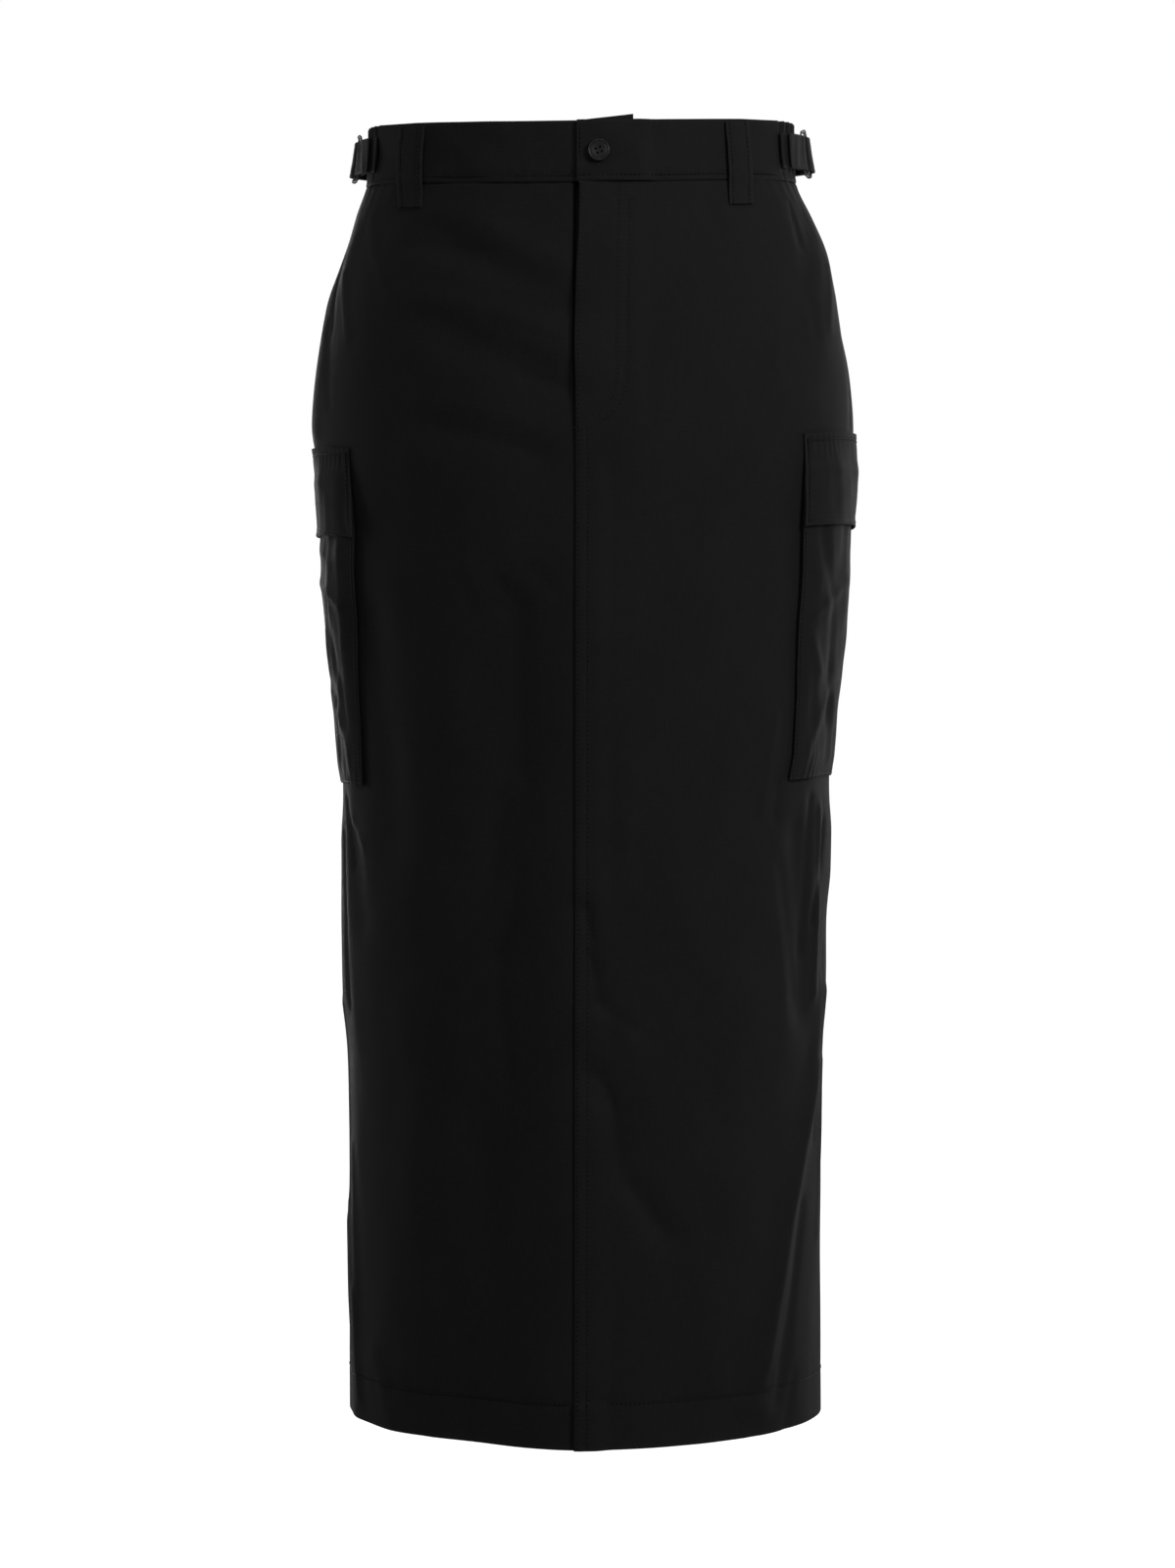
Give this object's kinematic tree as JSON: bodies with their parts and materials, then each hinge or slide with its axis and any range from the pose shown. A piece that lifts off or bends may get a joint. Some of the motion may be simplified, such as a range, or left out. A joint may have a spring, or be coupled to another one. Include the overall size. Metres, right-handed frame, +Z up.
{
  "type": "cargo utility skirt",
  "caption": "Long straight cotton skirt in its worn shape, with a fly front, waistband, side adjusters and bellows cargo pockets with flaps.",
  "frame": {"origin": "centre of the waist ring at the waistband's mean mid height, where the wearer's waist holds the skirt", "axes": "+Z up along the skirt, -Y towards its front, +X towards the wearer's left"},
  "size_m": [0.3916, 0.2745, 0.9162],
  "materials": {
    "black_cotton": "matt plain-weave cotton, fine and slightly slubbed",
    "button_plastic": "polished black resin",
    "black_metal": "black enamelled wire"
  },
  "bodies": {
    "root": {"front_right": "black_cotton", "front_left": "black_cotton", "back": "black_cotton", "waistband_right": "black_cotton", "waistband_left": "black_cotton", "waistband_back": "black_cotton", "belt_loop_right": "black_cotton", "belt_loop_left": "black_cotton", "belt_loop_back": "black_cotton", "adjuster_tab_right": "black_cotton", "adjuster_tab_left": "black_cotton", "adjuster_buckle_right": "black_metal", "adjuster_buckle_left": "black_metal", "adjuster_strap_right": "black_cotton", "adjuster_strap_left": "black_cotton", "pocket_gusset_right": "black_cotton", "pocket_gusset_left": "black_cotton", "pocket_face_right": "black_cotton", "pocket_face_left": "black_cotton", "pocket_flap_right": "black_cotton", "pocket_flap_left": "black_cotton", "waist_button": "button_plastic"}
  },
  "joints": []
}
